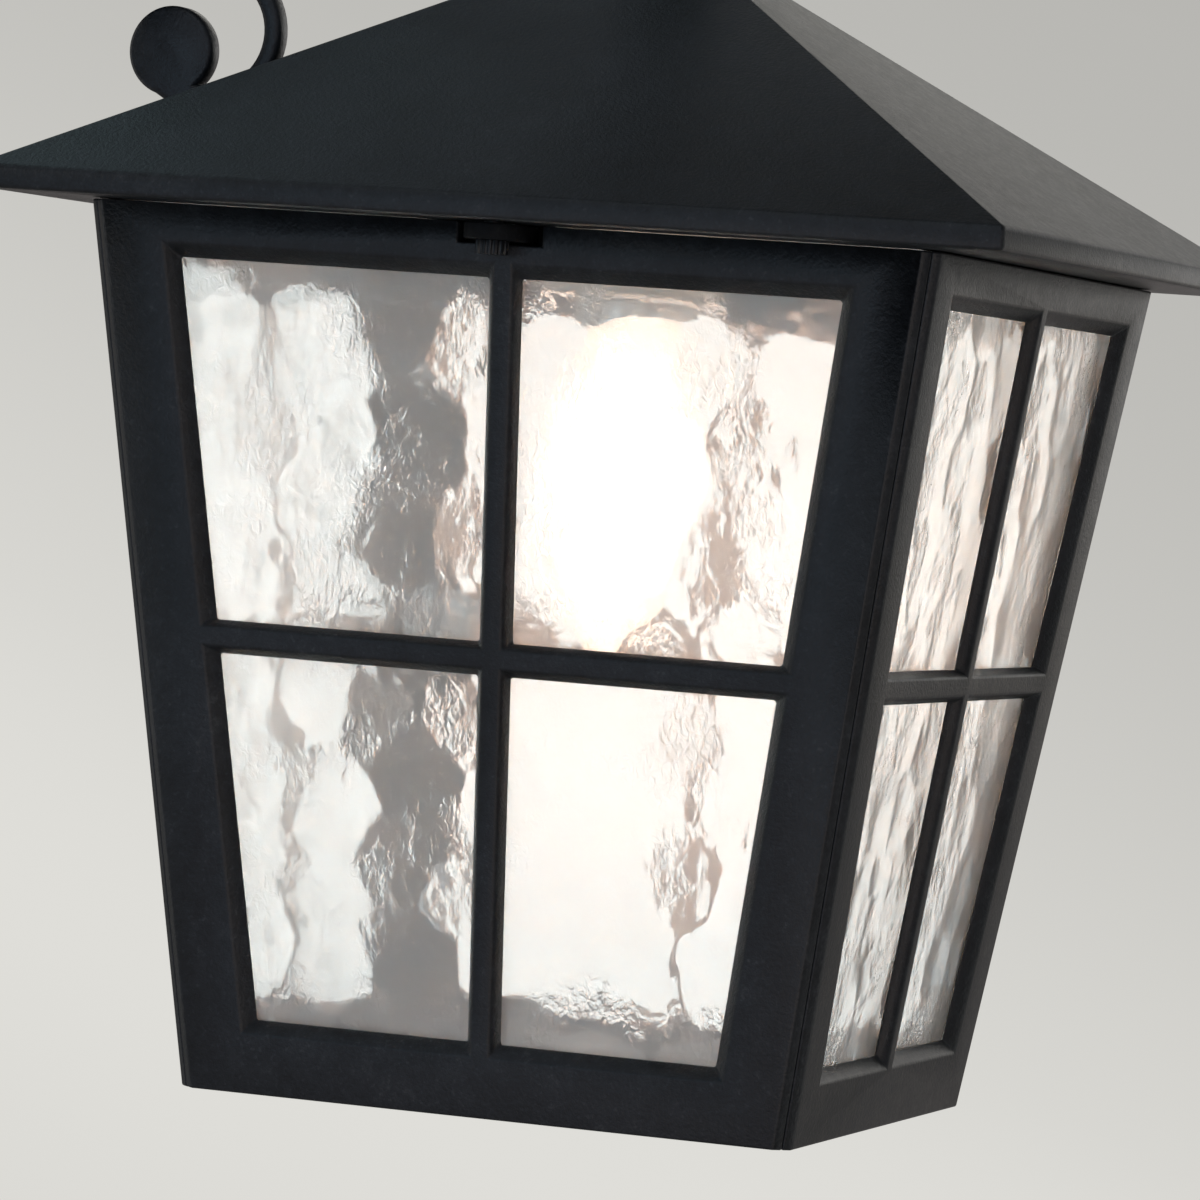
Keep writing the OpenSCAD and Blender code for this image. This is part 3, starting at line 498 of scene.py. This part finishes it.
def ripples(x, z, seed, strength):
    """How far the glass is hollowed at places on the sheet: round lens-like cells that meet in soft valleys, on
    slow waves. x and z are arrays."""
    rng = np.random.default_rng(seed)
    grid_x, grid_z = np.meshgrid(np.arange(*CELL_COLUMNS), np.arange(*CELL_ROWS))
    # Every second row is moved by half a cell
    place_x = grid_x + rng.uniform(-CELL_STRAY[0], CELL_STRAY[0], grid_x.shape) + 0.5 * (grid_z % 2)
    place_z = grid_z + rng.uniform(-CELL_STRAY[1], CELL_STRAY[1], grid_z.shape)
    centre_x = place_x.ravel() * CELL_PITCH[0]
    centre_z = place_z.ravel() * CELL_PITCH[1]
    curve = rng.uniform(*CELL_CURVE, centre_x.size)
    away = (x[:, None] - centre_x) ** 2 + (z[:, None] - centre_z) ** 2
    cells = -CELL_BLEND * np.log(np.exp(-0.5 * curve * away / CELL_BLEND).sum(axis=1))
    depth = np.clip(cells / CELL_DEPTH, 0.0, 1.0) ** 2

    def wave(a, b, offset):
        return noise.noise(Vector((a, b, seed + offset)))

    waves = [
        SLOW_WAVE * wave(30.0 * a, 13.0 * b, 0.0)
        + SHORT_WAVE * wave(120.0 * a, 100.0 * b, 5.0)
        + (FINE_WAVE + FINE_GAIN * d) * wave(340.0 * a, 260.0 * b, 9.0)
        for a, b, d in zip(x, z, depth)
    ]
    return strength * np.clip(LEAST_HOLLOW + cells + np.array(waves), 0.0, MOST_HOLLOW)


def rippled_sheet(side, facing, seed, strength, step):
    """A closed sheet of glass in the CAD sheet's place, with its faces hollowed by ripples."""
    out = Vector(facing)
    outer, inner = sheet_corners("glass_" + side, out)
    normal = (outer[1] - outer[0]).cross(outer[3] - outer[0]).normalized()
    if normal.dot(out) < 0:
        normal.negate()
    width = (outer[1] - outer[0]).length
    height = (outer[3] - outer[0]).length
    nu, nv = int(width / step), int(height / step)
    grid = np.meshgrid(np.linspace(0, 1, nv + 1), np.linspace(0, 1, nu + 1), indexing="ij")
    v, u = (a.ravel() for a in grid)
    x = (u - 0.5) * width * (1 - SHEET_TAPER * v)
    z = v * height

    def face(corners, hollow):
        c = [np.array(p) for p in corners]
        top = c[0] + np.outer(u, c[1] - c[0])
        foot = c[3] + np.outer(u, c[2] - c[3])
        return top + (foot - top) * v[:, None] + np.outer(hollow, np.array(normal))

    outer_face = face(outer, -ripples(x, z, seed + OUTER_SEED_OFFSET, OUTER_STRENGTH))
    inner_face = face(inner, ripples(x, z, seed, strength))
    verts = np.vstack([outer_face, inner_face])
    row = nu + 1
    back = row * (nv + 1)
    faces = []
    for j in range(nv):
        for i in range(nu):
            a = j * row + i
            faces.append((a, a + row, a + row + 1, a + 1))
            b = back + a
            faces.append((b, b + 1, b + row + 1, b + row))
    rim = list(range(row))
    rim += [j * row + nu for j in range(1, nv + 1)]
    rim += [nv * row + i for i in range(nu - 1, -1, -1)]
    rim += [j * row for j in range(nv - 1, 0, -1)]
    for a, b in zip(rim, rim[1:] + rim[:1]):
        faces.append((a, b, back + b, back + a))
    mesh = bpy.data.meshes.new("pane_" + side)
    mesh.from_pydata(verts.tolist(), [], faces)
    mesh.update()
    mesh.shade_smooth()
    return add_object("pane_" + side, mesh)


def make_glass():
    glass = water_glass()
    for side, made in PANES.items():
        pane = rippled_sheet(side, *made)
        pane.data.materials.append(glass)
        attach(pane, "cage")
        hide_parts("glass_" + side)


def make_world():
    """The backdrop, the studio that the lantern's coat mirrors, and the plain light that falls on it."""
    world = bpy.data.worlds.new("studio")
    bpy.context.scene.world = world
    t = Nodes(world)
    direction = t.add("ShaderNodeTexCoord").outputs["Generated"]

    def along(vector):
        return t.vector_math("DOT_PRODUCT", direction, vector)["Value"]

    # Darker to the upper right of the camera's view, palest low down
    slant = -(up + 0.5 * right) * (FOCAL_PX / BACKDROP_SPAN_PX)
    greys = [(place, linear(grey, BACKDROP_TINT)) for place, grey in BACKDROP_GREYS]
    backdrop = t.ramp(t.math("ADD", along(slant), BACKDROP_MIDDLE), greys, "B_SPLINE")
    # Away from the backdrop the studio falls off: dim overhead and to the sides, bluish behind the camera
    round_forward = t.spread(along(tuple(forward)), -1.0, 1.0, 0.0, 1.0)
    share = t.ramp(round_forward, STUDIO_SHARES, "EASE")
    overhead = t.spread(t.math("ABSOLUTE", along((0.0, 0.0, 1.0))), 0.25, 0.85, 1.0, OVERHEAD_SHARE)
    mirrored = t.tinted(t.tinted(backdrop, share), overhead)

    rays = t.add("ShaderNodeLightPath").outputs

    def background(colour):
        return t.add("ShaderNodeBackground", {"Color": colour, "Strength": 1.0}).outputs[0]

    def where(ray, yes, no):
        return t.add("ShaderNodeMixShader", {0: rays[ray], 1: no, 2: yes}).outputs[0]

    shown = background(PLAIN_LIGHT)
    shown = where("Is Glossy Ray", background(mirrored), shown)
    shown = where("Is Transmission Ray", background(BEHIND_GLASS), shown)
    shown = where("Is Camera Ray", background(backdrop), shown)
    t.add("ShaderNodeOutputWorld", {"Surface": shown})


def make_lights():
    for name, (place, size, watts, colour) in SOFTBOXES.items():
        data = bpy.data.lights.new("softbox_" + name, "AREA")
        data.shape = "RECTANGLE"
        data.size, data.size_y = size
        data.energy = watts
        data.color = colour
        obj = add_object("softbox_" + name, data)
        obj.location = place
        obj.visible_camera = False
        obj.rotation_euler = (LIT_POINT - Vector(place)).to_track_quat("-Z", "Y").to_euler()


def make_floor():
    """A plain pale floor that fades out before its edge."""
    mesh = bpy.data.meshes.new("floor")
    turns = [2 * math.pi * k / FLOOR_STEPS for k in range(FLOOR_STEPS)]
    ring = [
        (AXIS.x + FLOOR_RADIUS * math.cos(a), AXIS.y + FLOOR_RADIUS * math.sin(a), FLOOR_HEIGHT) for a in turns
    ]
    mesh.from_pydata(ring, [], [tuple(range(FLOOR_STEPS))])
    floor = add_object("floor", mesh)
    mat, t, coords = new_material("floor")
    flat = t.vector_math("MULTIPLY", coords, (1.0, 1.0, 0.0))[0]
    away = t.vector_math("DISTANCE", flat, tuple(AXIS))["Value"]
    fade = t.spread(away, *FLOOR_FADE, 0.0, 1.0)
    tone = t.ramp(t.noise(coords, 40.0), [(0.3, (0.70, 0.69, 0.66)), (0.7, (0.73, 0.72, 0.69))])
    shader = t.add("ShaderNodeBsdfPrincipled", {"Base Color": tone, "Roughness": 0.9})
    clear = t.add("ShaderNodeBsdfTransparent")
    mix = t.add("ShaderNodeMixShader", {0: fade, 1: shader.outputs[0], 2: clear.outputs[0]})
    t.add("ShaderNodeOutputMaterial", {"Surface": mix.outputs[0]})
    mesh.materials.append(mat)


make_camera()
make_world()
make_lights()
make_floor()
dress_nodes()
make_glass()
make_lamp_core()
for name, width in EDGE_WIDTHS.items():
    soften(name, width, clamp=name not in OPEN_EDGES)

bpy.context.scene.view_settings.view_transform = "Standard"
